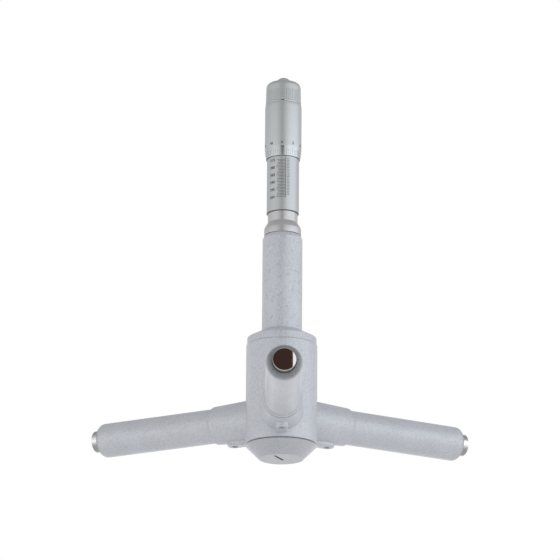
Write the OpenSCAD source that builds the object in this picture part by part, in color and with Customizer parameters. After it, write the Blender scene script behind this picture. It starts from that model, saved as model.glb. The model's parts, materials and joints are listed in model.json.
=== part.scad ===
// Three-point inside micrometer. Turning the thimble feeds a cone down between three plungers,
// which push the anvils out against the bore.
// Millimetres, +Z up along the spindle, origin in the middle of the end cap's flat face.

/* [Measuring range] */
// Smallest bore, across the three anvil faces
bore_min = 275; // [265:1:300]
// Feed of the spindle from the smallest bore to the largest
feed = 25; // [20:0.5:26]
// Outward travel of each anvil for one millimetre of feed
anvil_per_feed = 0.5; // [0.4:0.01:0.52]

/* [End cap] */
// Height of the cap's cone, from the flat face to the seam
cap_h = 9; // [8:0.1:11]
// Diameter of the flat face
cap_flat_d = 28.3; // [25:0.1:32]
// Thickness of the cap under the cone
cap_floor = 2.2; // [1.8:0.1:3]
// Diameter of the hollow that the cone feeds into
cap_hollow_d = 20; // [17:0.1:22]
// Length of the threaded spigot in the head
cap_spigot_len = 6.5; // [4:0.1:8]
// Length of the slot in the flat face
cap_slot_len = 13.6; // [8:0.1:16]
// Width of the slot
cap_slot_w = 1.8; // [1:0.1:2.5]
// Depth of the slot
cap_slot_depth = 1.2; // [0.6:0.1:1.5]
// How far the slot lies off the middle of the flat face, along its own length
cap_slot_off = 3.6; // [0:0.1:5]
// Angle of the slot from the X axis
cap_slot_angle = 65.5; // [0:0.5:180]

/* [Head body] */
// Diameter of the head
body_d = 45; // [42:0.1:50]
// Straight length of the head, from the seam to the shoulder's edge
body_len = 64.1; // [60:0.1:75]
// Small chamfer at the shoulder's edge
shoulder_step = 0.4; // [0.1:0.1:0.5]
// Height of the steep taper above the shoulder's edge
shoulder_h = 5; // [4:0.1:8]
// How far that taper comes in
shoulder_in = 0.6; // [0.6:0.1:2]
// Height of the shallow cone up to the handle tube
crown_h = 4.7; // [3:0.1:7]
// Diameter of a boss where it leaves the head
boss_root_d = 26.8; // [25.4:0.1:29]
// Diameter of a boss at its mouth
boss_end_d = 24.4; // [23.8:0.1:25.2]
// Distance of the boss mouth from the spindle axis
boss_reach = 48; // [46:0.1:52]
// Length of the chamfer at a boss's mouth
boss_lip = 1.6; // [0.8:0.1:2.4]
// Width of the pad under a boss
pad_w = 7.7; // [7:0.1:9]
// Depth of the pad's face below the arm axis
pad_drop = 15.2; // [14.6:0.1:16]
// Chamfer round the pad's face
pad_chamfer = 0.8; // [0.3:0.1:1.2]
// Distance of the pad's guide screw from the spindle axis
pad_reach = 33.4; // [31:0.1:34.4]
// How far the pad runs out past the middle of that screw
pad_past = 5; // [4.5:0.1:6]
// Chamfer at the seam with the end cap
seam_chamfer = 0.6; // [0.2:0.05:0.8]

/* [Arms] */
// Diameter of an arm
arm_d = 22; // [20.5:0.1:22.4]
// Rounding of an arm's outer end
arm_round = 3.6; // [1.5:0.1:3.8]
// Diameter of the bore that holds the spring
arm_bore_d = 15.6; // [15.2:0.1:16.4]
// Diameter of the threaded spigot in the boss
arm_spigot_d = 19; // [18:0.1:19.6]
// Metal left between a guide screw and the inner end of that spigot
arm_spigot_clear = 2.3; // [1.5:0.1:4]
// Length of the bore that guides the anvil
anvil_guide_len = 22.5; // [16:0.1:26]

/* [Anvils and plungers] */
// Diameter of an anvil
anvil_d = 14; // [13:0.1:14.4]
// Length of an anvil
anvil_len = 37.5; // [34:0.1:42]
// How far an anvil stands out of its arm at the smallest bore
anvil_out = 5; // [4:0.1:8]
// Radius of the anvil's ground face
anvil_face_r = 90; // [40:1:120]
// Chamfer at the edge of the anvil's face
anvil_chamfer = 0.5; // [0.2:0.1:1]
// Diameter of a plunger rod
rod_d = 10; // [9:0.1:11]
// Diameter of the rod's threaded end in the anvil
rod_stud_d = 6; // [5:0.1:7]
// Length of that end
rod_stud_len = 8; // [5:0.1:12]
// Width of the rod's keyway
keyway_w = 2.8; // [2:0.1:3.2]
// Depth of the rod's keyway
keyway_depth = 1.6; // [1:0.1:2]
// Diameter of a guide screw
guide_screw_d = 4; // [3:0.1:4.5]
// How far a guide screw sits inside its pad
guide_screw_sunk = 0.9; // [0.3:0.1:2]
// Thickness of a rod's retaining clip
clip_t = 1.2; // [0.8:0.1:1.6]
// Diameter of a retaining clip
clip_d = 14; // [13:0.1:14.6]
// Length of a return spring at the smallest bore
spring_len = 29.4; // [26:0.1:34]
// Wire diameter of a return spring
spring_wire = 1.1; // [0.8:0.1:1.3]
// Turns of a return spring
spring_turns = 9; // [6:1:11]
// Length of a rod bush
bush_len = 4; // [3:0.1:8]

/* [Cone and push rod] */
// Length of cone below the place where the plungers first touch it
cone_tip = 1.2; // [0.6:0.1:2]
// Height of the cone's plain head
cone_head_h = 4; // [3:0.1:8]
// Space left over the cap's floor at full feed
cone_end_gap = 0.85; // [0.5:0.05:2]
// Diameter of the push rod
push_rod_d = 12; // [10:0.1:13]
// Diameter of the thrust ball
thrust_ball_d = 6; // [5:0.1:7]
// Width of the key that stops the push rod from turning
rod_key_w = 3; // [2:0.1:4]
// Length of that key
rod_key_len = 9; // [6:0.1:10]

/* [Handle tube] */
// Diameter of the handle tube
tube_d = 25.5; // [24.8:0.1:28]
// Length of the handle tube
tube_len = 63.7; // [55:0.1:80]
// Wall of the handle tube
tube_wall = 3.1; // [2.4:0.1:3.4]
// Height of the chamfer at its top
tube_chamfer_h = 2.6; // [1:0.1:4]
// How far that chamfer comes in
tube_chamfer_in = 1.4; // [0.5:0.1:1.8]
// Length of the head's spigot inside the tube
tube_spigot_len = 12; // [10:0.1:16]

/* [Barrel and sleeve] */
// Diameter of the barrel's collar
collar_d = 23.7; // [21.6:0.1:24.6]
// Height of the collar
collar_h = 4.1; // [3:0.1:6]
// Height of the cone above the collar
collar_cone_h = 3.9; // [2.5:0.1:6]
// Diameter of the neck, which carries the sleeve
neck_d = 19.1; // [18.6:0.1:19.4]
// Length of neck that shows under the sleeve
neck_len = 6.5; // [5:0.1:9]
// Length of the barrel's plug in the tube
plug_len = 14; // [10:0.1:18]
// Length of the barrel's thread
nut_len = 24; // [18:0.1:26]
// Diameter of the split end, under the adjusting nut
nut_d = 15.2; // [14:0.1:15.8]
// Width of the splits
split_w = 0.8; // [0.5:0.1:1.2]
// Depth of the splits
split_depth = 13; // [8:0.1:16]
// Diameter of the adjusting nut
adjuster_d = 18; // [17.2:0.1:18.2]
// Height of the adjusting nut
adjuster_h = 6; // [4:0.1:8]
// Diameter of the scale sleeve
sleeve_d = 20.7; // [20.5:0.1:21]
// Length of sleeve that shows at the smallest bore
sleeve_shown = 36.7; // [34:0.1:44]
// Diameter of the spanner hole at the back of the sleeve
spanner_hole_d = 1.6; // [1:0.1:2]

/* [Spindle and thimble] */
// Diameter of the spindle's plain end
spindle_d = 8; // [7:0.1:9]
// Diameter of the measuring thread
thread_d = 10; // [9.4:0.1:10.8]
// How far the spindle reaches below the barrel at the smallest bore
spindle_tail = 5.5; // [4:0.1:9]
// Diameter of the thimble
thimble_d = 23.6; // [23:0.1:24.8]
// Length of the thimble
thimble_len = 37.5; // [34:0.1:42]
// Diameter of the bevel's lower edge
bevel_end_d = 21.8; // [21.5:0.1:22.4]
// Height of the bevel
bevel_h = 6.6; // [4:0.1:9]
// Diameter at the thimble's top edge
thimble_top_d = 22.7; // [21.4:0.1:22.9]
// Height of the rounding at the thimble's top
thimble_top_h = 2.9; // [1:0.1:4]
// Depth from the thimble's top edge to the underside of its web
thimble_cup = 7.2; // [6.4:0.1:9]
// Thickness of the web that seats on the spindle
thimble_web = 4.5; // [3:0.1:5]

/* [Ratchet] */
// Diameter of the knob at its lower edge
knob_d = 22.8; // [21.8:0.1:23.2]
// Diameter of the knob under its rounding
knob_top_d = 22.3; // [21.2:0.1:22.7]
// Height of the ribbed band
rib_h = 8.4; // [6:0.1:9]
// Number of ribs
rib_count = 54; // [40:1:60]
// Depth of the grooves between the ribs
rib_depth = 0.4; // [0.2:0.05:0.5]
// Height of the knob's side
knob_side_h = 11.1; // [10.4:0.1:13]
// Rounding of the knob's top edge
knob_round = 3.2; // [1.5:0.1:3.6]
// Gap between the thimble and the knob
knob_gap = 0.5; // [0.3:0.1:1]
// Diameter of the hollow for the ratchet's teeth and spring
knob_hollow_d = 16.8; // [16.2:0.1:17.2]
// Depth of that hollow
knob_hollow_h = 8.6; // [8:0.1:9.4]
// Diameter of the nub
nub_d = 8.7; // [7:0.1:10]
// Height of the nub
nub_h = 4.2; // [2.5:0.1:4.3]
// Number of ratchet teeth
ratchet_teeth = 24; // [12:12:24]
// Height of the ratchet teeth
ratchet_tooth_h = 0.7; // [0.4:0.05:0.9]
// Thickness of the pawl ring above its teeth
pawl_h = 2.3; // [1.5:0.1:3]
// Wire diameter of the ratchet spring
ratchet_wire = 0.8; // [0.5:0.1:1]
// Turns of the ratchet spring
ratchet_turns = 4; // [3:1:5]

/* [Fits] */
// Radial clearance of a running fit
run_fit = 0.05; // [0.02:0.01:0.09]
// Radial clearance of a screwed or pressed fit
seat_fit = 0.03; // [0.01:0.01:0.06]
// Gap where two curved faces touch
touch_gap = 0.05; // [0.02:0.01:0.1]
// Clearance beside and behind pieces that move past each other
side_gap = 0.3; // [0.2:0.05:0.5]

/* [Hidden] */
$fn = 72;
overcut = 1;

paint = [0.74, 0.75, 0.76];
satin_chrome = [0.72, 0.73, 0.75];
bright_steel = [0.80, 0.80, 0.81];
polished_steel = [0.55, 0.55, 0.56];
tool_steel = [0.62, 0.62, 0.64];
spring_steel = [0.45, 0.45, 0.48];
bronze = [0.72, 0.53, 0.30];

sides = ["front", "right", "left"];
arm_angles = [270, 30, 150];

// Cone and plungers: each rod ends in a ball nose on the arm axis, and the cone runs tangent to it
cone_angle = atan(anvil_per_feed);
rod_r = rod_d / 2;
nose_gap = 0.6;
nose_reach = rod_d / sqrt(3) + nose_gap;
touch_r = nose_reach - (rod_r + touch_gap) * cos(cone_angle);
touch_h = (rod_r + touch_gap) * sin(cone_angle);
arm_z = cap_floor + cone_end_gap + feed + cone_tip - touch_h;
anvil_travel = feed * anvil_per_feed;

cone_over = 0.8;
cone_z0 = arm_z + touch_h - cone_tip;
cone_z1 = arm_z + touch_h + feed + cone_over;
cone_r0 = touch_r - cone_tip * anvil_per_feed;
cone_r1 = touch_r + (feed + cone_over) * anvil_per_feed;
cone_top = cone_z1 + cone_head_h;
cavity_r = cone_r1 + 4 * side_gap;
cavity_top = cone_top + 4 * side_gap;

// Heights up the spindle axis
body_z0 = cap_h;
body_z1 = body_z0 + body_len;
crown_z0 = body_z1 + shoulder_h;
tube_z0 = crown_z0 + crown_h;
tube_z1 = tube_z0 + tube_len;
spigot_z1 = tube_z0 + tube_spigot_len;
collar_z1 = tube_z1 + collar_h;
neck_z0 = collar_z1 + collar_cone_h;
sleeve_z0 = neck_z0 + neck_len;
thimble_z0 = sleeve_z0 + sleeve_shown;
thimble_z1 = thimble_z0 + thimble_len;
web_z0 = thimble_z1 - thimble_cup;
web_z1 = web_z0 + thimble_web;
end_room = 1;
barrel_z1 = web_z0 - feed - end_room;
nut_z0 = barrel_z1 - nut_len;
thread_z0 = nut_z0 + side_gap;
guide_z1 = thread_z0 - feed - 2 * side_gap;
plug_z0 = tube_z1 - plug_len;
spindle_z0 = plug_z0 - spindle_tail;
split_seat_z = nut_z0 + 2;

// Ratchet
knob_z0 = thimble_z1 + knob_gap;
rib_z1 = knob_z0 + rib_h;
knob_side_z1 = knob_z0 + knob_side_h;
knob_top = knob_side_z1 + knob_round;
knob_hollow_z1 = knob_z0 + knob_hollow_h;
nub_top = knob_top + nub_h;
spindle_top = thimble_z1 + 1;
ratchet_base_d = knob_hollow_d - 2 * side_gap;
tooth_top = knob_z0 + 1.5;
tooth_root = tooth_top - ratchet_tooth_h;
tooth_w = 1.25;
tooth_play = 0.06;
pawl_z0 = tooth_top + touch_gap;
pawl_z1 = pawl_z0 + pawl_h;
pawl_bore_d = 9;
pawl_lug_w = 3;
pawl_lug_out = 0.8;
stop_screw_d = 5;
stop_thread_d = 3;
stop_thread_len = 7;
spindle_neck_d = 6;
seat_small_d = 7.8;
seat_big_d = 9.2;
nub_slot_w = 0.9;
nub_slot_depth = 0.8;

// Push rod, thrust ball and key
ball_z = spindle_z0 - touch_gap - thrust_ball_d / 2;
push_rod_z1 = ball_z + thrust_ball_d / 6;
push_stud_d = 6;
push_stud_len = 8;
key_in = 1.5;
key_out = 1.4;
key_z1 = spigot_z1;
key_z0 = key_z1 - rod_key_len;

// Arms, measured outwards from the spindle axis along the arm
face_reach = bore_min / 2;
arm_reach = face_reach - anvil_out;
arm_root = pad_reach + guide_screw_d / 2 + arm_spigot_clear;
spigot_floor = arm_root - side_gap;
anvil_root = face_reach - anvil_len;
bush_reach = anvil_root - 4;
bush_root = bush_reach - bush_len;
anvil_guide_root = arm_reach - anvil_guide_len;
anvil_relief_d = anvil_d + 2 * side_gap;
clip_reach = bush_root - spring_len;
clip_groove_d = rod_d - 1.8;
dog_d = keyway_w - 2 * 0.15;
dog_tip = rod_r - keyway_depth + 0.2;
spring_d = (rod_d + clip_d) / 2 + 0.6;
boss_slope = (boss_root_d - boss_end_d) / 2 / (boss_reach - boss_lip - body_d / 2);
boss_inner_reach = cavity_r;
boss_inner_r = boss_end_d / 2 + boss_slope * (boss_reach - boss_lip - boss_inner_reach);
boss_mouth_r = arm_d / 2 + 0.2;
cap_inset = 0.1;

function arc(c, r, a0, a1, steps = 10) =
    [for (i = [0:steps]) c + r * [cos(a0 + (a1 - a0) * i / steps), sin(a0 + (a1 - a0) * i / steps)]];

// Children are drawn along an arm: z is the distance from the spindle axis, x points down
module along_arm(i) {
    rotate([0, 0, arm_angles[i]]) translate([0, 0, arm_z]) rotate([0, 90, 0]) children();
}

module turned(profile) {
    rotate_extrude() polygon(profile);
}

module ring(d, bore, z0, z1) {
    difference() {
        translate([0, 0, z0]) cylinder(d = d, h = z1 - z0);
        translate([0, 0, z0 - overcut]) cylinder(d = bore, h = z1 - z0 + 2 * overcut);
    }
}

// A helical spring of round wire from z0 to z1, with its axis along z
module coil_spring(d, wire, z0, z1, turns, wire_sides = 6, steps = 14) {
    count = turns * steps;
    rise = (z1 - z0 - wire) / count;
    points = [
        for (i = [0:count]) for (k = [0:wire_sides - 1])
            let (a = 360 * i / steps, b = 360 * k / wire_sides, r = d / 2 + wire / 2 * cos(b))
            [r * cos(a), r * sin(a), z0 + wire / 2 + rise * i + wire / 2 * sin(b)]
    ];
    last = count * wire_sides;
    faces = concat(
        [[for (k = [0:wire_sides - 1]) k]],
        [
            for (i = [0:count - 1]) for (k = [0:wire_sides - 1])
                let (a = i * wire_sides + k, b = i * wire_sides + (k + 1) % wire_sides)
                [a, a + wire_sides, b + wire_sides, b]
        ],
        [[for (k = [wire_sides - 1:-1:0]) last + k]]
    );
    polyhedron(points, faces);
}

// Head body and end cap

module body_outside() {
    turned([
        [0, body_z0],
        [body_d / 2 - seam_chamfer, body_z0],
        [body_d / 2, body_z0 + seam_chamfer],
        [body_d / 2, body_z1],
        [body_d / 2 - shoulder_step, body_z1 + shoulder_step],
        [body_d / 2 - shoulder_in, crown_z0],
        [tube_d / 2, tube_z0],
        [tube_d / 2 - tube_wall - seat_fit, tube_z0],
        [tube_d / 2 - tube_wall - seat_fit, spigot_z1],
        [0, spigot_z1],
    ]);
}

// The tongue under a boss, round at its outer end
module pad() {
    r = pad_w / 2;
    side = pad_drop - pad_chamfer;
    end = pad_reach + pad_past - r;
    translate([0, 0, end]) rotate([0, 90, 0]) {
        cylinder(r = r, h = side);
        translate([0, 0, side]) cylinder(r1 = r, r2 = r - pad_chamfer, h = pad_chamfer);
    }
    translate([0, 0, boss_inner_reach]) linear_extrude(end - boss_inner_reach) polygon([
        [0, -r],
        [side, -r],
        [pad_drop, pad_chamfer - r],
        [pad_drop, r - pad_chamfer],
        [side, r],
        [0, r],
    ]);
}

module boss() {
    turned([
        [0, boss_inner_reach],
        [boss_inner_r, boss_inner_reach],
        [boss_end_d / 2, boss_reach - boss_lip],
        [boss_mouth_r, boss_reach],
        [0, boss_reach],
    ]);
    pad();
}

module boss_bores() {
    cylinder(d = rod_d + 2 * run_fit, h = boss_reach);
    translate([0, 0, spigot_floor])
        cylinder(d = arm_spigot_d + 2 * seat_fit, h = boss_reach - spigot_floor + overcut);
    translate([0, 0, pad_reach]) rotate([0, 90, 0])
        cylinder(d = guide_screw_d + 2 * seat_fit, h = pad_drop + overcut);
}

module head_body() {
    color(paint) difference() {
        union() {
            body_outside();
            for (i = [0:2]) along_arm(i) boss();
        }
        translate([0, 0, body_z0 - overcut]) cylinder(r = cavity_r, h = cavity_top - body_z0 + overcut);
        cylinder(d = push_rod_d + 2 * run_fit, h = spigot_z1 + overcut);
        translate([-rod_key_w / 2 - seat_fit, 0, key_z0])
            cube([rod_key_w + 2 * seat_fit, push_rod_d / 2 + key_out + seat_fit, rod_key_len + overcut]);
        for (i = [0:2]) along_arm(i) boss_bores();
    }
}

module end_cap() {
    color(paint) difference() {
        union() {
            turned([
                [0, 0],
                [cap_flat_d / 2 - seam_chamfer, 0],
                [cap_flat_d / 2, seam_chamfer / 2],
                [body_d / 2 - cap_inset, cap_h - seam_chamfer],
                [body_d / 2 - cap_inset - seam_chamfer, cap_h],
                [0, cap_h],
            ]);
            cylinder(r = cavity_r - seat_fit, h = cap_h + cap_spigot_len);
        }
        translate([0, 0, cap_floor]) cylinder(d = cap_hollow_d, h = cap_h + cap_spigot_len);
        rotate([0, 0, cap_slot_angle])
            translate([-cap_slot_len / 2 - cap_slot_off, -cap_slot_w / 2, -overcut])
            cube([cap_slot_len, cap_slot_w, cap_slot_depth + overcut]);
    }
}

// Handle tube, barrel and scale sleeve

module handle_tube() {
    inner = tube_d / 2 - tube_wall;
    color(paint) turned([
        [inner, tube_z0],
        [tube_d / 2, tube_z0],
        [tube_d / 2, tube_z1 - tube_chamfer_h],
        [tube_d / 2 - tube_chamfer_in, tube_z1],
        [inner, tube_z1],
    ]);
}

module head_barrel() {
    plug_r = tube_d / 2 - tube_wall - seat_fit;
    color(bright_steel) difference() {
        turned([
            [spindle_d / 2 + run_fit, plug_z0],
            [plug_r, plug_z0],
            [plug_r, tube_z1],
            [collar_d / 2, tube_z1],
            [collar_d / 2, collar_z1],
            [neck_d / 2, neck_z0],
            [neck_d / 2, split_seat_z],
            [nut_d / 2, split_seat_z],
            [nut_d / 2, barrel_z1],
            [thread_d / 2 + run_fit, barrel_z1],
            [thread_d / 2 + run_fit, nut_z0],
            [thread_d / 2 + side_gap, nut_z0],
            [thread_d / 2 + side_gap, guide_z1],
            [spindle_d / 2 + run_fit, guide_z1],
        ]);
        for (a = [0, 90]) rotate([0, 0, a])
            translate([-nut_d, -split_w / 2, barrel_z1 - split_depth])
            cube([2 * nut_d, split_w, split_depth + overcut]);
    }
}

module adjusting_nut() {
    notch_w = 2.5;
    notch_depth = 1.5;
    color(tool_steel) difference() {
        ring(adjuster_d, nut_d + 2 * seat_fit, barrel_z1 - end_room - adjuster_h, barrel_z1 - end_room);
        translate([-adjuster_d, -notch_w / 2, barrel_z1 - end_room - notch_depth])
            cube([2 * adjuster_d, notch_w, notch_depth + overcut]);
    }
}

module scale_sleeve() {
    color(satin_chrome) difference() {
        ring(sleeve_d, neck_d + 2 * run_fit, sleeve_z0, barrel_z1);
        translate([0, 0, sleeve_z0 + 4]) rotate([-90, 0, 0]) cylinder(d = spanner_hole_d, h = sleeve_d);
    }
}

// Cone, push rod and what holds them straight

module cone() {
    color(tool_steel) difference() {
        turned([
            [0, cone_z0],
            [cone_r0, cone_z0],
            [cone_r1, cone_z1],
            [cone_r1, cone_top],
            [0, cone_top],
        ]);
        translate([0, 0, cone_top - push_stud_len - side_gap])
            cylinder(d = push_stud_d + 2 * seat_fit, h = push_stud_len + overcut);
    }
}

module push_rod() {
    color(tool_steel) difference() {
        union() {
            translate([0, 0, cone_top]) cylinder(d = push_rod_d, h = push_rod_z1 - cone_top);
            translate([0, 0, cone_top - push_stud_len])
                cylinder(d = push_stud_d, h = push_stud_len + overcut);
        }
        translate([0, 0, ball_z]) sphere(d = thrust_ball_d + 2 * touch_gap);
        translate([-rod_key_w / 2 - run_fit, push_rod_d / 2 - key_in - side_gap, key_z0 - side_gap])
            cube([rod_key_w + 2 * run_fit, push_rod_d, rod_key_len + feed + 2 * side_gap]);
    }
}

module thrust_ball() {
    color(polished_steel) translate([0, 0, ball_z]) sphere(d = thrust_ball_d);
}

module rod_key() {
    color(tool_steel) translate([-rod_key_w / 2, push_rod_d / 2 - key_in, key_z0])
        cube([rod_key_w, key_in + key_out, rod_key_len]);
}

// Spindle and thimble

module spindle() {
    color(tool_steel) difference() {
        turned([
            [0, spindle_z0],
            [spindle_d / 2, spindle_z0],
            [spindle_d / 2, thread_z0],
            [thread_d / 2, thread_z0],
            [thread_d / 2, web_z0 - side_gap],
            [seat_big_d / 2, web_z0 - side_gap],
            [seat_big_d / 2, web_z0],
            [seat_small_d / 2, web_z1],
            [spindle_neck_d / 2, web_z1],
            [spindle_neck_d / 2, spindle_top],
            [0, spindle_top],
        ]);
        translate([0, 0, spindle_top - stop_thread_len - side_gap])
            cylinder(d = stop_thread_d + 2 * seat_fit, h = stop_thread_len + overcut);
    }
}

module thimble() {
    color(satin_chrome) turned(concat(
        [
            [sleeve_d / 2 + run_fit, thimble_z0],
            [bevel_end_d / 2, thimble_z0],
            [thimble_d / 2, thimble_z0 + bevel_h],
        ],
        [
            for (a = [0:15:90])
                [
                    thimble_top_d / 2 + (thimble_d - thimble_top_d) / 2 * cos(a),
                    thimble_z1 - thimble_top_h + thimble_top_h * sin(a)
                ]
        ],
        [
            [ratchet_base_d / 2 + side_gap, thimble_z1],
            [ratchet_base_d / 2 + side_gap, web_z1],
            [seat_small_d / 2 + seat_fit, web_z1],
            [seat_big_d / 2 + seat_fit, web_z0],
            [sleeve_d / 2 + run_fit, web_z0],
        ]
    ));
}

// Ratchet: the base screws onto the spindle, and the sprung pawl ring turns with the knob

// Saw-toothed wedges on the radii from r0 to r1, standing up to z and down to the tooth roots
module tooth_prisms(r0, r1, z, width, height, shift) {
    for (i = [0:ratchet_teeth - 1]) rotate([0, 0, i * 360 / ratchet_teeth])
        translate([r0, shift, tooth_top]) rotate([90, 0, 90])
        linear_extrude(r1 - r0)
        polygon([[0, z - tooth_top], [width, z - tooth_top], [width, -height], [0, 0]]);
}

module ratchet_base() {
    color(tool_steel) difference() {
        ring(ratchet_base_d, spindle_neck_d + 2 * seat_fit, web_z1, tooth_top);
        translate([0, 0, tooth_root - touch_gap])
            cylinder(d = pawl_bore_d, h = ratchet_tooth_h + overcut);
        tooth_prisms(pawl_bore_d / 2 - overcut, ratchet_base_d, tooth_top + overcut,
            tooth_w, ratchet_tooth_h, 0);
    }
}

module pawl_lug(width, reach, z0, z1) {
    for (a = [0, 180]) rotate([0, 0, a])
        translate([pawl_bore_d / 2, -width / 2, z0]) cube([reach - pawl_bore_d / 2, width, z1 - z0]);
}

module ratchet_pawl() {
    outer = knob_hollow_d - 2 * run_fit;
    color(tool_steel) {
        ring(outer, pawl_bore_d, pawl_z0, pawl_z1);
        pawl_lug(pawl_lug_w, knob_hollow_d / 2 + pawl_lug_out, pawl_z0, pawl_z1);
        tooth_prisms(pawl_bore_d / 2 + side_gap, ratchet_base_d / 2 - side_gap, pawl_z0 + side_gap,
            tooth_w - 2 * tooth_play, ratchet_tooth_h - tooth_play, tooth_play);
    }
}

module ratchet_spring() {
    color(spring_steel)
        coil_spring((pawl_bore_d + knob_hollow_d) / 2, ratchet_wire, pawl_z1, knob_hollow_z1, ratchet_turns);
}

module ratchet_knob() {
    groove_pitch = 360 / rib_count;
    groove_half = knob_d / 2 * sin(groove_pitch / 2);
    lean = atan((knob_d - knob_top_d) / 2 / knob_side_h);
    color(satin_chrome) difference() {
        turned(concat(
            [[0, knob_z0], [knob_d / 2, knob_z0]],
            arc([knob_top_d / 2 - knob_round, knob_side_z1], knob_round, 0, 90),
            [[0, knob_top]]
        ));
        translate([0, 0, knob_z0 - overcut]) cylinder(d = knob_hollow_d, h = knob_hollow_h + overcut);
        cylinder(d = stop_screw_d + 2 * run_fit, h = knob_top + overcut);
        pawl_lug(pawl_lug_w + 2 * run_fit, knob_hollow_d / 2 + pawl_lug_out + run_fit,
            knob_z0 - overcut, knob_hollow_z1);
        for (i = [0:rib_count - 1]) rotate([0, 0, (i + 0.5) * groove_pitch])
            translate([knob_d / 2, 0, knob_z0]) rotate([0, -lean, 0]) translate([0, 0, -overcut])
            linear_extrude(rib_h + overcut)
            polygon([[-rib_depth, 0], [rib_depth, -groove_half * 1.6], [rib_depth, groove_half * 1.6]]);
    }
}

module ratchet_screw() {
    nub_r = (pow(nub_d / 2, 2) + nub_h * nub_h) / (2 * nub_h);
    color(satin_chrome) difference() {
        union() {
            intersection() {
                translate([0, 0, nub_top - nub_r]) sphere(r = nub_r);
                translate([0, 0, knob_top + touch_gap]) cylinder(d = nub_d, h = nub_h);
            }
            translate([0, 0, spindle_top]) cylinder(d = stop_screw_d, h = knob_top + nub_h / 2 - spindle_top);
            translate([0, 0, spindle_top - stop_thread_len])
                cylinder(d = stop_thread_d, h = stop_thread_len + overcut);
        }
        translate([-nub_d, -nub_slot_w / 2, nub_top - nub_slot_depth])
            cube([2 * nub_d, nub_slot_w, nub_slot_depth + overcut]);
    }
}

// Pieces along each arm

module arm() {
    color(paint) turned(concat(
        [
            [arm_bore_d / 2, arm_root],
            [arm_spigot_d / 2, arm_root],
            [arm_spigot_d / 2, boss_reach],
            [arm_d / 2, boss_reach],
        ],
        arc([arm_d / 2 - arm_round, arm_reach - arm_round], arm_round, 0, 90),
        [
            [anvil_d / 2 + run_fit, arm_reach],
            [anvil_d / 2 + run_fit, anvil_guide_root],
            [anvil_relief_d / 2, anvil_guide_root],
            [anvil_relief_d / 2, bush_reach],
            [arm_bore_d / 2, bush_reach],
        ]
    ));
}

module anvil() {
    color(polished_steel) difference() {
        intersection() {
            turned([
                [0, anvil_root],
                [anvil_d / 2, anvil_root],
                [anvil_d / 2, face_reach - anvil_chamfer],
                [anvil_d / 2 - anvil_chamfer, face_reach],
                [0, face_reach],
            ]);
            translate([-anvil_d, 0, face_reach - anvil_face_r]) rotate([0, 90, 0])
                cylinder(r = anvil_face_r, h = 2 * anvil_d, $fn = 180);
        }
        translate([0, 0, anvil_root - overcut])
            cylinder(d = rod_stud_d + 2 * seat_fit, h = rod_stud_len + side_gap + overcut);
    }
}

module rod() {
    keyway_len = anvil_travel + dog_d + 2 * side_gap;
    color(tool_steel) difference() {
        union() {
            translate([0, 0, nose_reach]) sphere(d = rod_d);
            translate([0, 0, nose_reach]) cylinder(d = rod_d, h = anvil_root - nose_reach);
            translate([0, 0, anvil_root - overcut]) cylinder(d = rod_stud_d, h = rod_stud_len + overcut);
        }
        translate([rod_r - keyway_depth, -keyway_w / 2, pad_reach + dog_d / 2 + side_gap - keyway_len])
            cube([keyway_depth + overcut, keyway_w, keyway_len]);
        ring(rod_d + overcut, clip_groove_d, clip_reach - clip_t, clip_reach);
    }
}

module clip() {
    color(spring_steel) difference() {
        ring(clip_d, clip_groove_d + 2 * seat_fit, clip_reach - clip_t + seat_fit, clip_reach - seat_fit);
        translate([0, -clip_groove_d * 0.4, clip_reach - clip_t - overcut])
            cube([clip_d, clip_groove_d * 0.8, clip_t + 2 * overcut]);
    }
}

module spring() {
    color(spring_steel) coil_spring(spring_d, spring_wire, clip_reach, bush_root, spring_turns);
}

module guide_screws() {
    slot_w = 0.8;
    slot_depth = 1;
    head = pad_drop - guide_screw_sunk;
    color(tool_steel) for (i = [0:2]) along_arm(i) translate([0, 0, pad_reach]) rotate([0, 90, 0])
        difference() {
            union() {
                translate([0, 0, rod_r + 0.4]) cylinder(d = guide_screw_d, h = head - rod_r - 0.4);
                translate([0, 0, dog_tip]) cylinder(d = dog_d, h = rod_r + overcut - dog_tip);
            }
            translate([-guide_screw_d, -slot_w / 2, head - slot_depth])
                cube([2 * guide_screw_d, slot_w, slot_depth + overcut]);
        }
}

module rod_bushes() {
    color(bronze) for (i = [0:2]) along_arm(i)
        ring(arm_bore_d - 2 * seat_fit, rod_d + 2 * run_fit, bush_root, bush_reach);
}

head_body();
end_cap();
handle_tube();
head_barrel();
adjusting_nut();
scale_sleeve();
guide_screws();
rod_bushes();
rod_key();
cone();
push_rod();
thrust_ball();
spindle();
thimble();
ratchet_base();
ratchet_screw();
ratchet_knob();
ratchet_pawl();
ratchet_spring();
for (i = [0:2]) {
    along_arm(i) arm();
    along_arm(i) anvil();
    along_arm(i) rod();
    along_arm(i) clip();
    along_arm(i) spring();
}
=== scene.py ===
"""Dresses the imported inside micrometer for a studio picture.

Hammer-finish paint on the head, arms and handle tube, a satin chrome micrometer head with its two
scales, polished anvils, and a plain pale stage. Lengths are in metres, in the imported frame.
"""

import json
import math

import bmesh
import bpy
from bpy.props import BoolProperty, FloatProperty, FloatVectorProperty, IntProperty, PointerProperty
from bpy.types import Operator, Panel, PropertyGroup
from mathutils import Matrix, Vector


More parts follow.
